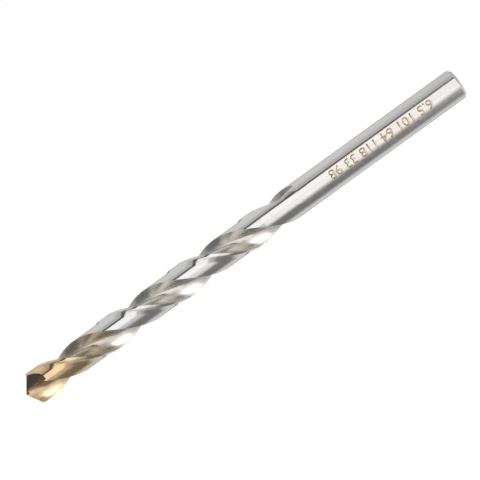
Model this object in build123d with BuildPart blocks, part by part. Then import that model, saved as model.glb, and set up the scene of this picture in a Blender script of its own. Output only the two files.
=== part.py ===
from build123d import *
import os
from math import asin, atan, atan2, cos, degrees, pi, radians, sin, sqrt, tan

# Twist drill bit: a right-hand, two-flute jobber drill with a parallel shank.
# The origin is the centre of the shank's flat end, and +Z runs along the axis
# to the point.  Millimetres and degrees.

# ---------------------------------------------------------------- sizes
diameter = 6.5  # across the margins
shank_diameter = 6.3
overall_length = 101.0
flute_length = 64.0  # from the point to where the flute's floor leaves the shank
pitch = 33.25  # the lead of the helix

point_angle = 118.0
lip_relief = 12.0  # how far the flank falls away at the lip
flank_radius = 6.4  # the flank's roundness behind the lip
facet_angle = 29.6  # between the heel facet and the axis
facet_offset = 0.15  # from the axis to the facet, level with the point
facet_turn = 94.5  # from the lip round to the way the facet faces
notch_reach = 0.35  # how far a facet goes past the axis, into the other lip

flute_angle = 98.0  # the flute's share of the circle at the point
flute_closing = 8.0  # how much narrower it is where the run-out starts
web_at_point = 1.05  # thickness of the core
web_at_runout = 1.9
floor_radius = 0.5  # of the flute's floor, between rake face and heel wall
wheel_radius = 18.0  # of the grinding wheel that leaves the run-out

margin_width = 0.6  # across the strip at full diameter
body_clearance = 0.25  # how far the land lies below the margin
clearance_fade = 4.0  # length over which the land rises to the shank
shoulder_length = 1.5  # of the cone from the shank out to the margins

end_chamfer = 0.5

# What the cutters and the blank have beyond the finished shape.
beyond = 1.2  # how far the cutters reach outside the blank
point_stock = 0.6  # how far the blank reaches past the ground point
heel_overlap = 6.0  # how far the clearance reaches into the flute
flank_sweep = 75.0  # the part of a circle that the flank's arc runs to
rake_steps = 5  # spans of the curve across the rake face
runout_steps = 5  # spans of the run-out along the axis

# ---------------------------------------------------------------- worked out
radius = diameter / 2
shank_radius = shank_diameter / 2
helix_angle = degrees(atan(pi * diameter / pitch))
lip_slope = 1 / tan(radians(point_angle / 2))  # fall of the lip for each mm outward
lip_offset = web_at_point / 2  # the lips pass the axis at this distance
lip_length = sqrt(radius**2 - lip_offset**2)

# The flank's arc starts at the lip and is lower where it passes the axis, so
# the line of the lip lies that much above the chisel edge.
arc_start = flank_radius * sin(radians(lip_relief))
arc_at_axis = sqrt(flank_radius**2 - (arc_start + lip_offset) ** 2)
chisel_drop = flank_radius * cos(radians(lip_relief)) - arc_at_axis
lip_top = overall_length + chisel_drop
corner_height = lip_top - lip_slope * lip_length

# The wheel rises out of the flute on its own radius.
flute_depth = shank_radius - web_at_runout / 2
runout_rise = flute_depth + body_clearance
runout_length = sqrt(2 * wheel_radius * flute_depth - flute_depth**2)
runout_travel = sqrt(2 * wheel_radius * runout_rise - runout_rise**2)
runout_start = overall_length - flute_length + runout_length
body_start = runout_start - clearance_fade

blank_length = overall_length + point_stock
cutter_top = blank_length + beyond
outer = radius + beyond

margin_angle = degrees(margin_width / cos(radians(helix_angle)) / radius)
flute_corner = -flute_angle / 2  # where the leading edge stands
lip_direction = flute_corner - degrees(asin(lip_offset / radius))


def polar(distance, angle):
    """A point of a cross-section at a distance from the axis and an angle."""
    return (distance * cos(radians(angle)), distance * sin(radians(angle)))


def turn_at(height):
    """The turn of the flutes at a height; none where the lips end."""
    return 360 * (height - corner_height) / pitch


def web_at(height):
    """Half the core's thickness, which grows evenly from point to run-out."""
    share = (corner_height - height) / (corner_height - runout_start)
    return (web_at_point + (web_at_runout - web_at_point) * share) / 2


def closing_at(height):
    """How much the heel has closed in on the flute at a height."""
    return flute_closing * (corner_height - height) / (corner_height - runout_start)


def rake_point(distance, web):
    """A point of the rake face that leaves a straight lip under the cone.

    A straight lip that misses the axis by half the core, seen along the axis,
    turned back by the twist between its own height and the corner's.
    """
    line = flute_corner - degrees(asin(web / radius)) + degrees(asin(web / distance))
    rise = lip_slope * (sqrt(radius**2 - web**2) - sqrt(distance**2 - web**2))
    return polar(distance, line - 360 * rise / pitch)


def section_plane(height, lift=0.0):
    """A plane square to the axis, turned with the flutes and pushed outward."""
    along = polar(1, turn_at(height))
    start = polar(lift, turn_at(height))
    return Plane(origin=(*start, height), x_dir=(*along, 0), z_dir=(0, 0, 1))


def flute_section(height, lift=0.0):
    """The void of one flute, square to the axis at a height."""
    web = web_at(max(height, runout_start))
    heel = flute_angle / 2 - closing_at(max(height, runout_start))
    shares = [(1 - step / rake_steps) ** 2 for step in range(rake_steps + 1)]
    rake = [rake_point(web + (radius - web) * share, web) for share in shares]
    heel_corner = polar(radius, heel)
    outer_heel = polar(outer, heel)
    outer_rake = polar(outer, flute_corner)
    with BuildSketch(section_plane(height, lift)) as section:
        with BuildLine():
            rake_face = Spline(*rake)
            along = rake_face % 1
            middle = rake_face @ 1 + Vector(along.Y, -along.X) * floor_radius
            away = Vector(*heel_corner) - middle
            wall = degrees(atan2(away.Y, away.X) - asin(floor_radius / away.length))
            bend = wall - degrees(atan2(along.Y, along.X))
            floor_arc = JernArc(rake_face @ 1, along, floor_radius, bend)
            Line(floor_arc @ 1, heel_corner)
            Line(heel_corner, outer_heel)
            ThreePointArc(outer_heel, (outer, 0), outer_rake)
            Line(outer_rake, rake[0])
        make_face()
    return section.sketch


def clearance_section(height, depth):
    """What a land lacks behind its margin, square to the axis at a height."""
    heel = flute_angle / 2 - closing_at(max(height, runout_start)) - heel_overlap
    margin = flute_corner + 180 - margin_angle
    middle = (heel + margin) / 2
    inner = radius - depth
    with BuildSketch(section_plane(height)) as section:
        with BuildLine():
            ThreePointArc(polar(inner, heel), polar(inner, middle), polar(inner, margin))
            Line(polar(inner, margin), polar(outer, margin))
            ThreePointArc(polar(outer, margin), polar(outer, middle), polar(outer, heel))
            Line(polar(outer, heel), polar(inner, heel))
        make_face()
    return section.sketch


def axis_line(low, high):
    """The stretch of the axis that a cutter follows."""
    return Line((0, 0, low), (0, 0, high), mode=Mode.PRIVATE)


def guide_helix(low, high):
    """The helix that turns the cutter on that stretch."""
    helix = Helix(pitch, high - low, radius, center=(0, 0, low), mode=Mode.PRIVATE)
    return helix.rotate(Axis.Z, turn_at(low))


# ---------------------------------------------------------------- cutters
# One flute, from beyond the point to where the wheel starts to rise.
flute_sections = [flute_section(height) for height in (runout_start, cutter_top)]
with BuildPart() as flute_cutter:
    sweep(
        flute_sections,
        axis_line(runout_start, cutter_top),
        multisection=True,
        binormal=guide_helix(runout_start, cutter_top),
    )

# The run-out: the same section, pushed outward as the wheel rises.
runout_sections = []
for step in range(runout_steps + 1):
    travel = runout_travel * (1 - step / runout_steps)
    rise = wheel_radius - sqrt(wheel_radius**2 - travel**2)
    runout_sections.append(flute_section(runout_start - travel, rise))
with BuildPart() as runout_cutter:
    sweep(
        runout_sections,
        axis_line(runout_start - runout_travel, runout_start),
        multisection=True,
        binormal=guide_helix(runout_start - runout_travel, runout_start),
    )

# The clearance of the land behind one margin, and its rise to the shank.
clearance_sections = [
    clearance_section(height, body_clearance) for height in (runout_start, cutter_top)
]
with BuildPart() as clearance_cutter:
    sweep(
        clearance_sections,
        axis_line(runout_start, cutter_top),
        multisection=True,
        binormal=guide_helix(runout_start, cutter_top),
    )

fade_sections = [
    clearance_section(body_start, radius - shank_radius),
    clearance_section(runout_start, body_clearance),
]
with BuildPart() as fade_cutter:
    sweep(
        fade_sections,
        axis_line(body_start, runout_start),
        multisection=True,
        binormal=guide_helix(body_start, runout_start),
    )

# All that lies above one flank: an arc that falls away behind the lip, carried
# along the lip's own slope.
with BuildPart() as flank_cutter:
    backward = polar(1, lip_direction - 90)
    outward = polar(1, lip_direction)
    square_to_lip = Plane(
        origin=(0, 0, lip_top), x_dir=(*backward, 0), z_dir=(-outward[0], -outward[1], 0)
    )
    with BuildSketch(square_to_lip):
        with BuildLine():
            flank = CenterArc(
                (-lip_offset - arc_start, -flank_radius * cos(radians(lip_relief))),
                flank_radius,
                90 - lip_relief,
                lip_relief - flank_sweep,
            )
            ahead = (-outer, (outer - lip_offset) * tan(radians(lip_relief)))
            above = ((flank @ 1).X, outer)
            Polyline(flank @ 1, above, (-outer, outer), ahead, flank @ 0)
        make_face()
    extrude(amount=outer, dir=(*outward, -lip_slope), both=True)

# All that lies outside one heel facet, a steep plane that trims the heel and
# ends a little past the axis, so that the other lip keeps its length.
with BuildPart() as facet_cutter:
    facing = polar(1, lip_direction - facet_turn)
    beyond_lip = polar(outer, lip_direction - facet_turn + 90)
    across_facet = Plane(
        origin=(*beyond_lip, overall_length), x_dir=(*facing, 0), z_dir=(facing[1], -facing[0], 0)
    )
    slant = tan(radians(facet_angle))
    with BuildSketch(across_facet):
        with BuildLine():
            top = (facet_offset - beyond * slant, beyond)
            foot = (outer, (facet_offset - outer) / slant)
            Polyline(top, foot, (outer, beyond), close=True)
        make_face()
    extrude(amount=outer + notch_reach)

# ---------------------------------------------------------------- the drill
# The turned blank, then what the grinding takes away, the same on both sides.
with BuildPart() as twist_drill:
    with BuildSketch(Plane.XZ):
        with BuildLine():
            Polyline(
                (0, 0),
                (shank_radius - end_chamfer, 0),
                (shank_radius, end_chamfer),
                (shank_radius, body_start),
                (radius, body_start + shoulder_length),
                (radius, blank_length),
                (0, blank_length),
                close=True,
            )
        make_face()
    revolve(axis=Axis.Z)
    with PolarLocations(0, 2):
        add(clearance_cutter.part, mode=Mode.SUBTRACT)
        add(fade_cutter.part, mode=Mode.SUBTRACT)
        add(flute_cutter.part, mode=Mode.SUBTRACT)
        add(runout_cutter.part, mode=Mode.SUBTRACT)
        add(flank_cutter.part, mode=Mode.SUBTRACT)
        add(facet_cutter.part, mode=Mode.SUBTRACT)

twist_drill.part.label = "twist_drill"
os.makedirs("parts", exist_ok=True)
export_step(twist_drill.part, "parts/twist_drill.step")
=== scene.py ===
from math import asin, atan2, ceil, cos, degrees, hypot, pi, radians, sin, sqrt, tan

import bmesh
import bpy
from mathutils import Matrix, Vector


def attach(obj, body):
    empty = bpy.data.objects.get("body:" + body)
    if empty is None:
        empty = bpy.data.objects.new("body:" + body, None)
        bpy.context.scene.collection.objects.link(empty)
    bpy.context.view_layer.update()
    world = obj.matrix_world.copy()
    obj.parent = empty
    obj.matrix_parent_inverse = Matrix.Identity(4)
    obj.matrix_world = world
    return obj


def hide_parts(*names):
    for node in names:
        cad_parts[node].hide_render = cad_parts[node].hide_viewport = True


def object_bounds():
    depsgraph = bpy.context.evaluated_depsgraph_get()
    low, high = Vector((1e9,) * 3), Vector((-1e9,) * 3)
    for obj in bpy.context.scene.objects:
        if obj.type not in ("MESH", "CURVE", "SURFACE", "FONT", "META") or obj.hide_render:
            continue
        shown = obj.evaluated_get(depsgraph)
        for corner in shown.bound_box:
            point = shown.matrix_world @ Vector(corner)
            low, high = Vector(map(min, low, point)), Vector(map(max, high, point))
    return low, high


# Twist drill bit, standing on its shank's end.  Metres; +Z runs along the axis to the point.
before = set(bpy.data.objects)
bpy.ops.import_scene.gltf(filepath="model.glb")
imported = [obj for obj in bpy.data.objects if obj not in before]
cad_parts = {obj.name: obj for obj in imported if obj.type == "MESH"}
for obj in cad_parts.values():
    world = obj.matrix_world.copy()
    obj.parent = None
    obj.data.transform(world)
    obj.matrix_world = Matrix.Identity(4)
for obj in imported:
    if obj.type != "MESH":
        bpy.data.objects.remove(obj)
cad_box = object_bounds()

MM = 0.001
NODE = "twist_drill"
TOP = cad_box[1].z / MM

# ---------------------------------------------------------------- the drill's sizes, in millimetres
RADIUS = 3.25  # of the margins
SHANK_RADIUS = 3.15
FLUTE_LENGTH = 64.0
PITCH = 33.25
LIP_SLOPE = 1 / tan(radians(118.0 / 2))
LIP_RELIEF = radians(12.0)
FLANK_RADIUS = 6.4
FACET_SLANT = tan(radians(29.6))
FACET_OFFSET = 0.15
FACET_TURN = 94.5
NOTCH_REACH = 0.35  # how far a facet goes past the axis, into the other lip
FLUTE_HALF = 49.0  # degrees, half the flute's share of the circle at the point
FLUTE_CLOSING = 8.0
WEB_AT_POINT = 1.05 / 2
WEB_AT_RUNOUT = 1.9 / 2
FLOOR_RADIUS = 0.8
WHEEL_RADIUS = 18.0
MARGIN_WIDTH = 0.6
BODY_CLEARANCE = 0.25
STEP_WIDTH = 1.5  # over which the land rises to the margin
STEP_ONTO_MARGIN = 0.15
STEP_FOOT = 0.92  # the hollow share of that rise
CLEARANCE_FADE = 3.0
RUNOUT_SKEW = radians(18.0)  # the leaving wheel lags behind the helix
SHOULDER_LENGTH = 1.5
END_CHAMFER = 0.5

LIP_LENGTH = sqrt(RADIUS**2 - WEB_AT_POINT**2)
FLANK_START = FLANK_RADIUS * sin(LIP_RELIEF)
FLANK_TOP = FLANK_RADIUS * cos(LIP_RELIEF)
LIP_TOP = TOP + FLANK_TOP - sqrt(FLANK_RADIUS**2 - (FLANK_START + WEB_AT_POINT) ** 2)
CORNER_HEIGHT = LIP_TOP - LIP_SLOPE * LIP_LENGTH
LIP_DIRECTION = radians(-FLUTE_HALF) - asin(WEB_AT_POINT / RADIUS)

FLUTE_DEPTH = SHANK_RADIUS - WEB_AT_RUNOUT
RUNOUT_LENGTH = sqrt(2 * WHEEL_RADIUS * FLUTE_DEPTH - FLUTE_DEPTH**2)
RUNOUT_END = TOP - FLUTE_LENGTH
RUNOUT_START = RUNOUT_END + RUNOUT_LENGTH
BODY_START = RUNOUT_START  # from here down, where the flutes run out, the bar has the shank's radius
MARGIN_ANGLE = degrees(MARGIN_WIDTH * hypot(1, 2 * pi * RADIUS / PITCH) / RADIUS)

# ---------------------------------------------------------------- how finely the mesh follows them
RAKE_POINTS = 60
FLOOR_POINTS = 24
FLOOR_DENSITY = 4.0  # points for each millimetre of the floor, against one on the walls
VOID_POINTS = 44
LAND_POINTS = 22
STEP_POINTS = 14
MARGIN_POINTS = 5
SHANK_STEP = 3.0
BODY_STEP = 0.3
RUNOUT_STEPS = 44
FLANK_POINTS = 90
FLANK_SWEEP = radians(63)
STOCK = 0.6  # what the bar has above the point before it is ground
BEYOND = 1.2  # how far the cutting blocks reach outside the bar
SHARP_ANGLE = radians(24)
SMALLEST_EDGE = 0.002  # shorter edges, which cuts leave, are closed up
TOUCHING = 1e-7  # metres, between points that are one and the same
NO_LENGTH = 1e-8  # metres, of an edge that is only a point
ON_THE_RADIUS = 1e-9  # slack for a point that lies on the bar's own radius
GROUND, FLUTE, FLANK, FACET = range(4)  # the bit's materials, in the order of surface_materials


def polar(distance, angle):
    """A point of a section, by its distance from the axis and its angle round it."""
    return Vector((distance * cos(angle), distance * sin(angle)))


def share_along(height):
    """0 at the lips' ends, 1 where the run-out starts and below."""
    return (CORNER_HEIGHT - max(height, RUNOUT_START)) / (CORNER_HEIGHT - RUNOUT_START)


def void_outline(height):
    """One flute square to the axis: rake face, floor and heel wall, with a density for each point."""
    web = WEB_AT_POINT + (WEB_AT_RUNOUT - WEB_AT_POINT) * share_along(height)
    heel = polar(RADIUS, radians(FLUTE_HALF - FLUTE_CLOSING * share_along(height)))
    corner = radians(-FLUTE_HALF) - asin(web / RADIUS)
    reach = sqrt(RADIUS**2 - web**2)
    points = []
    for step in range(RAKE_POINTS + 1):
        along = reach * (1 - step / RAKE_POINTS)
        turned = corner + atan2(web, along) - 2 * pi * LIP_SLOPE * (reach - along) / PITCH
        points.append((polar(hypot(web, along), turned), 1.0))
    middle = polar(web + FLOOR_RADIUS, turned)
    away = heel - middle
    wall = atan2(away.y, away.x) - asin(FLOOR_RADIUS / away.length)
    first, last = turned + pi, wall + pi / 2
    for step in range(1, FLOOR_POINTS + 1):
        around = first + (last - first) * step / FLOOR_POINTS
        points.append((middle + polar(FLOOR_RADIUS, around), FLOOR_DENSITY))
    points.append((heel, 1.0))
    return points


def void_edge(height, lift, leading_radius, heel_radius):
    """The flute's outline at a height, cut off where it leaves the bar, as evenly spaced points."""
    outline = [(point + Vector((lift, 0)), density) for point, density in void_outline(height)]
    measure = [0.0]
    for (one, _), (two, density) in zip(outline, outline[1:]):
        measure.append(measure[-1] + (two - one).length * density)

    def crossing(order, radius):
        for here, there in zip(order, order[1:]):
            near, far = outline[here][0].length, outline[there][0].length
            if far < radius <= near + ON_THE_RADIUS:
                part = (near - radius) / (near - far)
                return measure[here] + (measure[there] - measure[here]) * max(part, 0)
        return None

    order = list(range(len(outline)))
    start = crossing(order, leading_radius)
    end = crossing(order[::-1], heel_radius)
    if start is None or end is None:
        return None
    points, index = [], 0
    for step in range(VOID_POINTS + 1):
        wanted = start + (end - start) * step / VOID_POINTS
        while index < len(measure) - 2 and measure[index + 1] < wanted:
            index += 1
        part = (wanted - measure[index]) / (measure[index + 1] - measure[index])
        points.append(outline[index][0].lerp(outline[index + 1][0], part))
    return points


def bar_radii(height):
    """Radius of the margins and of the land behind them."""
    climb = min(max((height - BODY_START) / SHOULDER_LENGTH, 0), 1)
    margin = SHANK_RADIUS + (RADIUS - SHANK_RADIUS) * climb
    fall = min(max((height - BODY_START) / CLEARANCE_FADE, 0), 1)
    land = SHANK_RADIUS + (RADIUS - BODY_CLEARANCE - SHANK_RADIUS) * fall
    return margin, land


def arc(radius, start, end, count):
    return [polar(radius, start + (end - start) * step / count) for step in range(count + 1)]


def rise_to_margin(land_radius, margin_radius, start, end):
    """The hollow slope from the land up onto the margin, between two angles."""
    points = []
    for k in range(1, STEP_POINTS + 1):
        share = k / STEP_POINTS
        hollow = share * share / STEP_FOOT
        risen = hollow if share < STEP_FOOT else 1 - (1 - share) ** 2 / (1 - STEP_FOOT)
        radius = land_radius + (margin_radius - land_radius) * risen
        points.append(polar(radius, start + (end - start) * share))
    return points


def half_section(height):
    """Half the outline square to the axis, anticlockwise from a leading edge to the other one."""
    margin_radius, land_radius = bar_radii(height)
    below = max(RUNOUT_START - height, 0)
    lift = WHEEL_RADIUS - sqrt(WHEEL_RADIUS**2 - below**2) if below < WHEEL_RADIUS else WHEEL_RADIUS
    void = void_edge(height, lift, margin_radius, land_radius) if height > RUNOUT_END else None
    if void is None:
        void = [polar(margin_radius, 0.0)] * (VOID_POINTS + 1)
    skew = Matrix.Rotation(RUNOUT_SKEW * min(lift / FLUTE_DEPTH, 1), 2)
    void = [skew @ point for point in void]
    heel = atan2(void[-1].y, void[-1].x)
    leading = pi + atan2(void[0].y, void[0].x)
    step_up = max(pi - radians(FLUTE_HALF + MARGIN_ANGLE), heel + STEP_WIDTH / RADIUS)
    step_up += STEP_ONTO_MARGIN / RADIUS
    step_down = step_up - STEP_WIDTH / RADIUS
    land = arc(land_radius, heel, step_down, LAND_POINTS)
    step = rise_to_margin(land_radius, margin_radius, step_down, step_up)
    margin = arc(margin_radius, step_up, leading, MARGIN_POINTS)
    return void + land[1:] + step + margin[1:-1]


def section(height):
    turn = Matrix.Rotation(2 * pi * (height - CORNER_HEIGHT) / PITCH, 2)
    half = half_section(height)
    return [turn @ point for point in half + [-point for point in half]]


def spread(low, high, step):
    count = max(ceil((high - low) / step), 1)
    return [low + (high - low) * k / count for k in range(count)]


def ring_heights():
    runout = spread(RUNOUT_END, RUNOUT_START, (RUNOUT_START - RUNOUT_END) / RUNOUT_STEPS)
    return runout + spread(RUNOUT_START, TOP + STOCK, BODY_STEP) + [TOP + STOCK]


def ground_bar():
    """The whole bar with its flutes, before the point is ground."""
    rings = [(height, section(height)) for height in ring_heights()]
    foot = [point.normalized() * SHANK_RADIUS for point in rings[0][1]]
    shank = [(height, foot) for height in spread(END_CHAMFER, RUNOUT_END, SHANK_STEP)]
    chamfer = [point.normalized() * (SHANK_RADIUS - END_CHAMFER) for point in foot]
    rings = [(0.0, chamfer)] + shank + rings
    mesh = bmesh.new()
    loops = []
    for height, points in rings:
        loops.append([mesh.verts.new((point.x * MM, point.y * MM, height * MM)) for point in points])
    half = len(foot) // 2
    for (height, _), lower, upper in zip(rings, loops, loops[1:]):
        for k in range(len(lower)):
            n = (k + 1) % len(lower)
            face = mesh.faces.new((lower[k], lower[n], upper[n], upper[k]))
            in_flute = k % half < VOID_POINTS and height >= RUNOUT_END
            face.material_index = FLUTE if in_flute else GROUND
    mesh.faces.new(loops[0][::-1])
    mesh.faces.new(loops[-1])
    bmesh.ops.remove_doubles(mesh, verts=mesh.verts, dist=TOUCHING)
    bmesh.ops.dissolve_degenerate(mesh, edges=mesh.edges, dist=NO_LENGTH)
    bmesh.ops.recalc_face_normals(mesh, faces=mesh.faces)
    return new_object("ground_drill", mesh)


def new_object(name, mesh):
    data = bpy.data.meshes.new(name)
    mesh.to_mesh(data)
    mesh.free()
    holder = bpy.data.objects.new(name, data)
    bpy.context.scene.collection.objects.link(holder)
    return holder


def prism(name, outline, depth, surface):
    """A closed block between an outline pushed forward and back by a vector, in millimetres."""
    mesh = bmesh.new()
    near = [mesh.verts.new((point + depth) * MM) for point in outline]
    far = [mesh.verts.new((point - depth) * MM) for point in outline]
    for k in range(len(outline)):
        n = (k + 1) % len(outline)
        mesh.faces.new((near[k], near[n], far[n], far[k]))
    mesh.faces.new(near[::-1])
    mesh.faces.new(far)
    bmesh.ops.recalc_face_normals(mesh, faces=mesh.faces)
    for face in mesh.faces:
        face.material_index = surface
    return new_object(name, mesh)


def level(distance, angle):
    """A vector square to the axis, by its length and its angle round it."""
    return Vector((distance * cos(angle), distance * sin(angle), 0))


def flank_block(side):
    """All above one flank: an arc that falls away behind the lip, carried along the lip's slope."""
    outer = RADIUS + BEYOND
    outward = level(1, LIP_DIRECTION + side)
    backward = level(1, LIP_DIRECTION + side - pi / 2)
    outline = []
    for step in range(FLANK_POINTS + 1):
        angle = pi / 2 - LIP_RELIEF - FLANK_SWEEP * step / FLANK_POINTS
        along = FLANK_RADIUS * cos(angle) - FLANK_START - WEB_AT_POINT
        outline.append((along, FLANK_RADIUS * sin(angle) - FLANK_TOP))
    outline += [(along, outer), (-outer, outer), (-outer, (outer - WEB_AT_POINT) * tan(LIP_RELIEF))]
    lip = Vector((0, 0, LIP_TOP))
    corners = [lip + backward * x + Vector((0, 0, y)) for x, y in outline]
    return prism("flank_block", corners, (outward - Vector((0, 0, LIP_SLOPE))) * outer, FLANK)


def facet_block(side):
    """All outside one heel facet, a steep plane."""
    outer = RADIUS + BEYOND
    facing = level(1, LIP_DIRECTION + side - radians(FACET_TURN))
    across = level(1, LIP_DIRECTION + side - radians(FACET_TURN) + pi / 2)
    outline = [(FACET_OFFSET - BEYOND * FACET_SLANT, BEYOND), (outer, BEYOND)]
    outline.append((outer, (FACET_OFFSET - outer) / FACET_SLANT))
    middle = Vector((0, 0, TOP)) + across * (outer - NOTCH_REACH) / 2
    corners = [middle + facing * x + Vector((0, 0, y)) for x, y in outline]
    return prism("facet_block", corners, across * (outer + NOTCH_REACH) / 2, FACET)


def grind_point(bar, materials):
    """Cuts the two flanks and the two heel facets, the same on both sides."""
    blocks = [make(side) for make in (flank_block, facet_block) for side in (0, pi)]
    for piece in [bar] + blocks:
        for material in materials:
            piece.data.materials.append(material)
    for block in blocks:
        modifier = bar.modifiers.new("grind", "BOOLEAN")
        modifier.operation = "DIFFERENCE"
        modifier.solver = "EXACT"
        modifier.object = block
    depsgraph = bpy.context.evaluated_depsgraph_get()
    ground = bpy.data.meshes.new_from_object(bar.evaluated_get(depsgraph))
    bar.modifiers.clear()
    bar.data = ground
    for block in blocks:
        bpy.data.objects.remove(block)
    tidy_cuts(ground)
    for polygon in ground.polygons:
        polygon.use_smooth = True
    ground.set_sharp_from_angle(angle=SHARP_ANGLE)


def tidy_cuts(data):
    """Joins the points that the cuts left almost on top of each other."""
    mesh = bmesh.new()
    mesh.from_mesh(data)
    bmesh.ops.remove_doubles(mesh, verts=mesh.verts, dist=SMALLEST_EDGE * MM)
    bmesh.ops.dissolve_degenerate(mesh, edges=mesh.edges, dist=SMALLEST_EDGE * MM)
    mesh.to_mesh(data)
    mesh.free()


# ---------------------------------------------------------------- the camera
IMAGE_SIZE = 480  # pixels, both ways
SENSOR = 36.0
CAMERA_DISTANCE = 371.0 * MM
PIXELS_PER_MM = 5.27  # at the aimed point
AIM_BELOW_POINT = 49.85 * MM
EDGE_BEHIND = 24.0  # degrees from the leading edge back to the line that faces up in the picture
TIP_NEARER = radians(1.1)
ROLL = radians(35.85)
NUDGE = (0.0, 0.2)  # pixels

# The picture before it is tilted and rolled: the bit lies level, with its point at the left.
DOWN_AXIS = Vector((0, 0, -1))
LEVEL_UP = level(1, radians(-FLUTE_HALF - EDGE_BEHIND))
TO_VIEWER = DOWN_AXIS.cross(LEVEL_UP)


def add_camera():
    """The photograph's view: the bit lies aslant across the picture, its point at the lower left."""
    level_right = DOWN_AXIS * cos(TIP_NEARER) + TO_VIEWER * sin(TIP_NEARER)
    back = TO_VIEWER * cos(TIP_NEARER) - DOWN_AXIS * sin(TIP_NEARER)
    level_up = back.cross(level_right)
    right = level_right * cos(ROLL) - level_up * sin(ROLL)
    up = level_right * sin(ROLL) + level_up * cos(ROLL)
    camera = bpy.data.cameras.new("camera")
    camera.sensor_width = SENSOR
    camera.lens = SENSOR * PIXELS_PER_MM * (CAMERA_DISTANCE / MM) / IMAGE_SIZE
    camera.clip_start = MM
    camera.shift_x = NUDGE[0] / IMAGE_SIZE
    camera.shift_y = NUDGE[1] / IMAGE_SIZE
    holder = bpy.data.objects.new("camera", camera)
    bpy.context.scene.collection.objects.link(holder)
    aim = Vector((0, 0, cad_box[1].z - AIM_BELOW_POINT))
    turn = Matrix((right, up, back)).transposed().to_4x4()
    holder.matrix_world = Matrix.Translation(aim + back * CAMERA_DISTANCE) @ turn
    bpy.context.scene.camera = holder


# ---------------------------------------------------------------- shader helpers
MIX_SHARE, MIX_FIRST, MIX_SECOND, MIX_COLOUR = 0, 6, 7, 2  # the Mix node's sockets for colours
TO_DEGREES = 180 / pi
WHITE = (1, 1, 1, 1)


def grey(brightness):
    return (brightness, brightness, brightness, 1)


def math_node(tree, operation, *values, clamp=False):
    """One Math node; each value is a number or another node's output."""
    node = tree.nodes.new("ShaderNodeMath")
    node.operation = operation
    node.use_clamp = clamp
    for socket, value in zip(node.inputs, values):
        feed(tree, socket, value)
    return node.outputs[0]


def feed(tree, socket, value):
    if isinstance(value, bpy.types.NodeSocket):
        tree.links.new(value, socket)
    else:
        socket.default_value = value


def dot(tree, vector, direction):
    node = tree.nodes.new("ShaderNodeVectorMath")
    node.operation = "DOT_PRODUCT"
    tree.links.new(vector, node.inputs[0])
    node.inputs[1].default_value = direction
    return node.outputs["Value"]


def rise(tree, value, start, end):
    """0 below start, 1 above end, smooth between; the other way round if end is lower."""
    node = tree.nodes.new("ShaderNodeMapRange")
    node.interpolation_type = "SMOOTHSTEP"
    feed(tree, node.inputs["Value"], value)
    node.inputs["From Min"].default_value = min(start, end)
    node.inputs["From Max"].default_value = max(start, end)
    node.inputs["To Min"].default_value = 0.0 if start < end else 1.0
    node.inputs["To Max"].default_value = 1.0 if start < end else 0.0
    return node.outputs[0]


def blend(tree, share, first, second):
    """A colour between two, each a colour or another node's output."""
    node = tree.nodes.new("ShaderNodeMix")
    node.data_type = "RGBA"
    feed(tree, node.inputs[MIX_SHARE], share)
    feed(tree, node.inputs[MIX_FIRST], first)
    feed(tree, node.inputs[MIX_SECOND], second)
    return node.outputs[MIX_COLOUR]


# ---------------------------------------------------------------- the studio
# What the steel mirrors, as soft-edged panels in degrees.  The first pair of numbers goes round the
# bit's axis, from 0 towards the viewer up to 90 above it in the picture; the second goes along it,
# from 0 level with the bit to 90 past its shank end.  Each pair is followed by its two edges' softness.
WALLS = 0.73
PANELS = (
    # round        softness  along       softness  brightness, whether it leans
    ((-60, 92), (16, 28), (-90, -25), (1, 7), 0.41, False),  # the room beyond the point
    ((-8, 62), (22, 22), (-90, -38), (1, 10), 0.14, False),  # its dark end
    ((-8, 46), (22, 14), (-90, -46), (1, 8), 0.165, False),
    ((45, 130), (12, 20), (-90, -57), (1, 8), 0.36, False),
    ((-20, 130), (8, 12), (-90, -68), (1, 6), 0.40, False),
    ((-34, -14), (12, 16), (-36, -14), (10, 4), 0.80, False),  # window beside the point
    ((-110, 180), (20, 1), (11, 90), (4, 1), 0.55, False),  # the room beyond the shank
    ((-58, 2), (26, 20), (8, 33), (5, 11), 0.97, False),  # windows there
    ((-42, 28), (20, 9), (38, 57), (14, 3), 2.2, False),
    ((-32, 26), (12, 6), (46, 57), (8, 3), 3.2, False),
    ((-81, 20), (40, 1), (-17, 9), (4, 3), 0.20, False),  # dark skirting below the front window
    ((-14, 10), (28, 1), (-19, 1), (4, 3), 0.55, False),  # a curtain
    ((4, 41), (12, 4), (-19, 1), (4, 3), 1.14, True),  # front window, beside the curtain
    ((-19, 41), (31, 4), (1, 9), (3, 4), 1.22, False),  # and clear of it
    ((-2, 3), (4, 4), (0, 9), (5, 4), 1.05, False),  # its bar
    ((43, 66), (3, 22), (-19, 9), (4, 3), 0.53, True),  # its frame's shade
    ((43, 52), (3, 5), (-19, 9), (4, 3), 0.07, True),  # and the gap over it
    ((36, 48), (4, 6), (-23, -14), (3, 3), 0.1, False),
)
LEAN = 0.5  # degrees round for each degree along, where a panel leans down to the point
LEAN_START = -4.0
BACK_PANELS = (
    ((150, 163), (5, 5), (-30, 30), (8, 8), 0.3, False),
    ((166, 200), (5, 1), (-40, 40), (8, 8), 1.1, False),
)
DIFFUSE_LEVEL = 0.85
LAMP_PLACE = Vector((-0.6, -0.55, 0.9))
LAMP_SIZE = 0.6
LAMP_WATTS = 2.4
FLOOR_SIZE = 3.0
FLOOR_ROUGHNESS = 0.9
# To the camera the floor is half paint and half plain glow, so the shadow on it stays faint.
FLOOR_COLOUR = (0.85, 0.85, 0.84, 1)
FLOOR_HALF = (0.45, 0.45, 0.45, 1)
FLOOR_GLOW = 0.66


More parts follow.
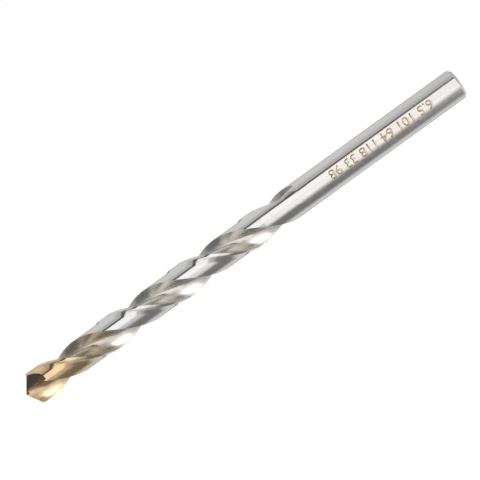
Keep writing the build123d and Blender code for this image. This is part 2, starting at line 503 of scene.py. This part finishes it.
def panel(tree, around, along, colour, shape):
    """Lays one panel over the colour so far."""
    (low, high), (low_soft, high_soft), (bottom, top), (bottom_soft, top_soft), brightness, _ = shape
    share = math_node(tree, "MULTIPLY", rise(tree, around, low - low_soft, low),
                      rise(tree, around, high + high_soft, high))
    share = math_node(tree, "MULTIPLY", share, rise(tree, along, bottom - bottom_soft, bottom))
    share = math_node(tree, "MULTIPLY", share, rise(tree, along, top + top_soft, top))
    return blend(tree, share, colour, grey(brightness))


def add_world():
    """White to the camera, a plain level to what scatters light, and the panels to what mirrors it."""
    world = bpy.data.worlds.new("studio")
    bpy.context.scene.world = world
    world.use_nodes = True
    tree = world.node_tree
    direction = tree.nodes.new("ShaderNodeTexCoord").outputs["Generated"]
    around = math_node(tree, "ARCTAN2", dot(tree, direction, LEVEL_UP), dot(tree, direction, TO_VIEWER))
    around = math_node(tree, "MULTIPLY", around, TO_DEGREES)
    along = math_node(tree, "ARCSINE", dot(tree, direction, DOWN_AXIS))
    along = math_node(tree, "MULTIPLY", along, TO_DEGREES)
    past_start = math_node(tree, "MINIMUM", math_node(tree, "SUBTRACT", along, LEAN_START), 0.0)
    leaning = math_node(tree, "MULTIPLY_ADD", past_start, -LEAN, around)
    behind = math_node(tree, "ABSOLUTE", around)
    studio = grey(WALLS)
    for shape in PANELS:
        studio = panel(tree, leaning if shape[-1] else around, along, studio, shape)
    for shape in BACK_PANELS:
        studio = panel(tree, behind, along, studio, shape)
    path = tree.nodes.new("ShaderNodeLightPath")
    seen = blend(tree, path.outputs["Is Diffuse Ray"], studio, grey(DIFFUSE_LEVEL))
    seen = blend(tree, path.outputs["Is Camera Ray"], seen, WHITE)
    tree.links.new(seen, tree.nodes["Background"].inputs["Color"])


def add_lamp():
    """One large soft lamp, high in front; the steel doesn't mirror it."""
    lamp = bpy.data.lights.new("soft_lamp", "AREA")
    lamp.size = LAMP_SIZE
    lamp.energy = LAMP_WATTS
    holder = bpy.data.objects.new("soft_lamp", lamp)
    holder.location = LAMP_PLACE
    aim = Vector((0, 0, TOP * MM / 2)) - LAMP_PLACE
    holder.rotation_euler = aim.to_track_quat("-Z", "Y").to_euler()
    holder.visible_glossy = False
    bpy.context.scene.collection.objects.link(holder)


def add_floor():
    """A plain white floor that keeps the bit's soft shadow and stays out of the steel's mirror."""
    mesh = bmesh.new()
    bmesh.ops.create_grid(mesh, x_segments=1, y_segments=1, size=FLOOR_SIZE / 2)
    floor = new_object("floor", mesh)
    floor.visible_glossy = False
    material = bpy.data.materials.new("floor_white")
    material.use_nodes = True
    tree = material.node_tree
    shader = tree.nodes["Principled BSDF"]
    shader.inputs["Roughness"].default_value = FLOOR_ROUGHNESS
    shader.inputs["Specular IOR Level"].default_value = 0.0
    path = tree.nodes.new("ShaderNodeLightPath")
    paint = blend(tree, path.outputs["Is Camera Ray"], FLOOR_COLOUR, FLOOR_HALF)
    tree.links.new(paint, shader.inputs["Base Color"])
    shader.inputs["Emission Color"].default_value = WHITE
    glow = math_node(tree, "MULTIPLY", path.outputs["Is Camera Ray"], FLOOR_GLOW)
    tree.links.new(glow, shader.inputs["Emission Strength"])
    floor.data.materials.append(material)


# ---------------------------------------------------------------- materials
BRIGHT_STEEL = (0.815, 0.800, 0.780, 1)
DULL_STEEL = (0.765, 0.752, 0.732, 1)
FLUTE_STEEL = (0.800, 0.765, 0.715, 1)
FLUTE_DULL = (0.700, 0.660, 0.600, 1)
KHAKI = (0.755, 0.620, 0.425, 1)
FLUTE_TAN = (0.640, 0.568, 0.455, 1)
GOLD = (0.860, 0.660, 0.385, 1)
DEEP_GOLD = (0.815, 0.565, 0.315, 1)
ROSE_GOLD = (0.790, 0.570, 0.390, 1)
# Painted shade and a painted reflection of the gold rake face: a darker brown deep in the flute by the
# web
PAINTED_WEB_SHADE = (0.680, 0.490, 0.335, 1)
# Painted reflection: the heel facets' steel is painted dark, purple in patches, and brown towards the
# web where it mirrors the gold rake face
FACET_PAINTED_DARK = (0.190, 0.174, 0.160, 1)
FACET_PAINTED_DARK_PURPLE = (0.200, 0.160, 0.210, 1)
FACET_PAINTED_BROWN = (0.360, 0.260, 0.200, 1)
FLANK_BRONZE = (0.400, 0.290, 0.180, 1)
FLANK_DARK = (0.260, 0.205, 0.160, 1)
MARK_BROWN = (0.560, 0.395, 0.275, 1)
MARK_FAINT = (0.700, 0.590, 0.490, 1)
MARK_HALO = (0.845, 0.770, 0.645, 1)
HALO_STRENGTH = 0.75
HALO_REACH = 1.7  # millimetres to either side of the mark's line
HALO_EDGE = 0.8
COARSE_RAKE = (2.2, 2.8)  # millimetres from the axis
COARSE_ROUGHNESS = 0.44
# Heights, in millimetres, over which the steel turns khaki or tan, and then gold
GROUND_TINTS = ((82.0, 89.0), (86.5, 93.0))
FLUTE_TINTS = ((77.0, 86.0), (90.5, 95.0))
TINT_UNEVEN = 4.0  # millimetres that a tint's edge wanders in all
WEB_SHADE_REACH = (1.6, 0.8)  # millimetres from the axis, where the flute turns brown with painted shade
WEB_SHADE_HEIGHTS = (92.0, 96.0)
# Each grain is stretched noise: how fine it is along x, y and z, and its depth in millimetres
RING_GRAIN = ((0.5, 0.5, 9.0), 0.0012)
HELIX_GRAIN = ((5.0, 5.0, 0.35), 0.006)
SLANT_GRAIN = ((9.0, 1.0, 3.0), 0.002)
GRAIN_DETAIL = 4.0
FLUTE_STREAKS = (2.0, 2.0, 0.25)
STREAK_STRENGTH = 0.35
GRAIN_TURN = 0.25  # of a circle, from the tangent to the way the grain spreads light
SMUDGE_SCALE = 0.9
LEAST_ROUGH = 0.35  # of the roughness, where there is neither smudge nor grain
ROUGH_BY_GRAIN = 0.5

# ---------------------------------------------------------------- the size mark's numbers and place
MARK_TEXT = "6.5 101 64 118 33 98"
MARK_LETTER = 2.6  # millimetres, the font's size
MARK_BOLD = 0.03
MARK_ENDS = (6.6, 30.4)  # heights on the shank
MARK_SIDE = 0.15  # below the line that faces the viewer
MARK_ABOVE = 0.004
MARK_BELOW = 0.05
MARK_ROWS = 12
MARK_CURVES = 3  # steps in each curve of the font


def noise(tree, vector, scale, detail=3.0, roughness=0.5):
    """Noise for each millimetre of the vector."""
    node = tree.nodes.new("ShaderNodeTexNoise")
    node.inputs["Scale"].default_value = scale
    node.inputs["Detail"].default_value = detail
    node.inputs["Roughness"].default_value = roughness
    tree.links.new(vector, node.inputs["Vector"])
    return node.outputs["Fac"]


def stretched(tree, vector, factors):
    node = tree.nodes.new("ShaderNodeVectorMath")
    node.operation = "MULTIPLY"
    tree.links.new(vector, node.inputs[0])
    node.inputs[1].default_value = factors
    return node.outputs["Vector"]


def in_millimetres(tree):
    place = tree.nodes.new("ShaderNodeTexCoord").outputs["Object"]
    return stretched(tree, place, (1 / MM, 1 / MM, 1 / MM))


def height_of(tree, place):
    split = tree.nodes.new("ShaderNodeSeparateXYZ")
    tree.links.new(place, split.inputs[0])
    return split.outputs["Z"]


def out_from_axis(tree, place):
    node = tree.nodes.new("ShaderNodeVectorMath")
    node.operation = "LENGTH"
    tree.links.new(stretched(tree, place, (1, 1, 0)), node.inputs[0])
    return node.outputs["Value"]


def untwisted(tree, place):
    """The place turned back with the flutes, so that the helix runs straight up."""
    turn = tree.nodes.new("ShaderNodeVectorRotate")
    turn.rotation_type = "Z_AXIS"
    tree.links.new(place, turn.inputs["Vector"])
    angle = math_node(tree, "MULTIPLY", height_of(tree, place), -2 * pi / PITCH)
    tree.links.new(angle, turn.inputs["Angle"])
    return turn.outputs["Vector"]


def bump(tree, height, strength, depth):
    node = tree.nodes.new("ShaderNodeBump")
    node.inputs["Strength"].default_value = strength
    node.inputs["Distance"].default_value = depth * MM
    tree.links.new(height, node.inputs["Height"])
    return node.outputs["Normal"]


def metal(name, colour_of, grain_of, roughness, anisotropy, coarse_of=None):
    """A metal with its colour and grinding marks from two functions of the tree and the place.

    A third function, coarse_of, gives the least roughness where part of the surface is coarser.
    """
    material = bpy.data.materials.new(name)
    material.use_nodes = True
    tree = material.node_tree
    shader = tree.nodes["Principled BSDF"]
    shader.inputs["Metallic"].default_value = 1.0
    shader.inputs["Anisotropic"].default_value = anisotropy
    shader.inputs["Anisotropic Rotation"].default_value = GRAIN_TURN
    tangent = tree.nodes.new("ShaderNodeTangent")
    tangent.direction_type = "RADIAL"
    tangent.axis = "Z"
    tree.links.new(tangent.outputs[0], shader.inputs["Tangent"])
    place = in_millimetres(tree)
    tree.links.new(colour_of(tree, place), shader.inputs["Base Color"])
    marks, depth = grain_of(tree, place)
    smudges = noise(tree, place, SMUDGE_SCALE)
    rough = math_node(tree, "MULTIPLY_ADD", smudges, roughness, roughness * LEAST_ROUGH)
    rough = math_node(tree, "MULTIPLY_ADD", marks, roughness * ROUGH_BY_GRAIN, rough)
    if coarse_of:
        rough = math_node(tree, "MAXIMUM", rough, coarse_of(tree, place))
    tree.links.new(rough, shader.inputs["Roughness"])
    tree.links.new(bump(tree, marks, 1.0, depth), shader.inputs["Normal"])
    return material


def tinted(tree, place, steel, dull, tan, tan_heights, gold_heights):
    """Steel that turns tan and then gold towards the point, with uneven edges and rosy patches."""
    height = height_of(tree, place)
    patches = noise(tree, place, 0.55)
    uneven = math_node(tree, "MULTIPLY_ADD", patches, TINT_UNEVEN, height)
    uneven = math_node(tree, "SUBTRACT", uneven, TINT_UNEVEN / 2)
    fine = noise(tree, place, 2.6, detail=5.0)
    colour = blend(tree, rise(tree, fine, 0.35, 0.75), steel, dull)
    colour = blend(tree, rise(tree, uneven, *tan_heights), colour, tan)
    gold = blend(tree, rise(tree, noise(tree, place, 0.8), 0.42, 0.62), GOLD, DEEP_GOLD)
    gold = blend(tree, rise(tree, noise(tree, place, 1.3), 0.55, 0.75), gold, ROSE_GOLD)
    return blend(tree, rise(tree, uneven, *gold_heights), colour, gold)


def near_mark(tree, place):
    """Rises in patches around the size mark, for the faint warm tint there."""
    height = height_of(tree, place)
    low, high = MARK_ENDS
    off_line = math_node(tree, "ABSOLUTE", dot(tree, place, LEVEL_UP))
    shares = [
        rise(tree, height, low - HALO_EDGE, low + HALO_EDGE),
        rise(tree, height, high + HALO_EDGE, high - HALO_EDGE),
        rise(tree, off_line, HALO_REACH, HALO_REACH - HALO_EDGE),
        rise(tree, dot(tree, place, TO_VIEWER), 0.0, HALO_EDGE),
        rise(tree, noise(tree, place, 0.8), 0.3, 0.6),
    ]
    share = HALO_STRENGTH
    for factor in shares:
        share = math_node(tree, "MULTIPLY", factor, share)
    return share


def ground_colour(tree, place):
    steel = tinted(tree, place, BRIGHT_STEEL, DULL_STEEL, KHAKI, *GROUND_TINTS)
    return blend(tree, near_mark(tree, place), steel, MARK_HALO)


def flute_colour(tree, place):
    streaks = noise(tree, stretched(tree, untwisted(tree, place), FLUTE_STREAKS), 1.0)
    colour = tinted(tree, place, FLUTE_STEEL, FLUTE_DULL, FLUTE_TAN, *FLUTE_TINTS)
    dull = math_node(tree, "MULTIPLY", rise(tree, streaks, 0.4, 0.8), STREAK_STRENGTH)
    colour = blend(tree, dull, colour, FLUTE_DULL)
    # Painted shade: the flute turns a darker brown near the web, close to the point
    web_shade = rise(tree, out_from_axis(tree, place), *WEB_SHADE_REACH)
    web_shade = math_node(tree, "MULTIPLY", web_shade, rise(tree, height_of(tree, place), *WEB_SHADE_HEIGHTS))
    return blend(tree, web_shade, colour, PAINTED_WEB_SHADE)


def flank_colour(tree, place):
    return blend(tree, rise(tree, noise(tree, place, 1.1), 0.35, 0.65), FLANK_BRONZE, FLANK_DARK)


def facet_colour(tree, place):
    """A painted dark reflection, with a little purple, and a painted brown reflection of the gold rake
    face towards the web.
    """
    out = math_node(tree, "ABSOLUTE", dot(tree, place, level(1, LIP_DIRECTION)))
    colour = blend(tree, rise(tree, noise(tree, place, 0.7), 0.55, 0.75), FACET_PAINTED_DARK, FACET_PAINTED_DARK_PURPLE)
    return blend(tree, rise(tree, out, 1.0, 0.1), colour, FACET_PAINTED_BROWN)


def grain(tree, place, factors, depth):
    """Stretched noise, with the depth of its bumps."""
    return noise(tree, stretched(tree, place, factors), 1.0, detail=GRAIN_DETAIL), depth


def ring_grain(tree, place):
    """Fine rings left by cylindrical grinding."""
    return grain(tree, place, *RING_GRAIN)


def helix_grain(tree, place):
    """Streaks that follow the flutes."""
    return grain(tree, untwisted(tree, place), *HELIX_GRAIN)


def coarse_rake(tree, place):
    """The roughness of the rake faces, coarser out by the cutting edges."""
    outward = level(1, radians(-FLUTE_HALF) - 2 * pi * CORNER_HEIGHT / PITCH)
    reach = math_node(tree, "ABSOLUTE", dot(tree, untwisted(tree, place), outward))
    return math_node(tree, "MULTIPLY", rise(tree, reach, *COARSE_RAKE), COARSE_ROUGHNESS)


def slant_grain(tree, place):
    """Straight scratches across the ground point."""
    return grain(tree, place, *SLANT_GRAIN)


def mark_colour(tree, place):
    return blend(tree, rise(tree, noise(tree, place, 1.8), 0.35, 0.7), MARK_BROWN, MARK_FAINT)


def surface_materials():
    return [
        metal("ground_steel", ground_colour, ring_grain, 0.14, 0.5),
        metal("flute_steel", flute_colour, helix_grain, 0.22, 0.3, coarse_rake),
        metal("flank_steel", flank_colour, slant_grain, 0.16, 0.0),
        metal("facet_steel", facet_colour, slant_grain, 0.18, 0.0),
    ]


# ---------------------------------------------------------------- the size mark
def flat_letters():
    """The mark as a flat mesh in millimetres, as the font draws it but without slivers."""
    text = bpy.data.curves.new("size_mark", "FONT")
    text.body = MARK_TEXT
    text.size = MARK_LETTER
    text.resolution_u = MARK_CURVES
    text.offset = MARK_BOLD
    source = bpy.data.objects.new("size_mark_text", text)
    bpy.context.scene.collection.objects.link(source)
    depsgraph = bpy.context.evaluated_depsgraph_get()
    flat = bpy.data.meshes.new_from_object(source.evaluated_get(depsgraph))
    bpy.data.objects.remove(source)
    mesh = bmesh.new()
    mesh.from_mesh(flat)
    bpy.data.meshes.remove(flat)
    bmesh.ops.remove_doubles(mesh, verts=mesh.verts, dist=SMALLEST_EDGE)
    for face in [face for face in mesh.faces if face.calc_area() < SMALLEST_EDGE**2]:
        bmesh.utils.edge_rotate(max(face.edges, key=bmesh.types.BMEdge.calc_length))
    return mesh


def extent(mesh, axis):
    values = [vert.co[axis] for vert in mesh.verts]
    return min(values), max(values)


def cut_into_rows(mesh, low, high):
    """Gives the flat letters rows of points, so that they can follow the round shank."""
    for row in range(1, MARK_ROWS):
        cut = Vector((0, low + (high - low) * row / MARK_ROWS, 0))
        everything = mesh.verts[:] + mesh.edges[:] + mesh.faces[:]
        bmesh.ops.bisect_plane(mesh, geom=everything, plane_co=cut, plane_no=(0, 1, 0))
    bmesh.ops.remove_doubles(mesh, verts=mesh.verts, dist=SMALLEST_EDGE)
    bmesh.ops.dissolve_degenerate(mesh, edges=mesh.edges, dist=SMALLEST_EDGE)


def lay_on_shank(mesh, front, middle):
    """Bends the letters round the shank, their front just above its surface and the rest inside."""
    left, right = extent(mesh, 0)
    for vert in mesh.verts:
        share = (vert.co.x - left) / (right - left)
        around = (vert.co.y - middle + MARK_SIDE) / SHANK_RADIUS
        radius = SHANK_RADIUS + (MARK_ABOVE if vert in front else -MARK_BELOW)
        place = (TO_VIEWER * cos(around) - LEVEL_UP * sin(around)) * radius
        place.z = MARK_ENDS[0] + (MARK_ENDS[1] - MARK_ENDS[0]) * share
        vert.co = place * MM


def add_size_mark():
    """Plain numbers on the shank, reading from its end towards the point."""
    mesh = flat_letters()
    low, high = extent(mesh, 1)
    cut_into_rows(mesh, low, high)
    thick = bmesh.ops.extrude_face_region(mesh, geom=mesh.faces[:])
    front = {part for part in thick["geom"] if isinstance(part, bmesh.types.BMVert)}
    lay_on_shank(mesh, front, (low + high) / 2)
    bmesh.ops.recalc_face_normals(mesh, faces=mesh.faces)
    mark = new_object("size_mark", mesh)
    mark.data.materials.append(metal("size_mark", mark_colour, ring_grain, 0.3, 0.0))
    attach(mark, "root")


drill = ground_bar()
grind_point(drill, surface_materials())
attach(drill, "root")
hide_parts(NODE)
add_size_mark()

add_camera()
add_world()
add_lamp()
add_floor()
bpy.context.scene.view_settings.view_transform = "Standard"
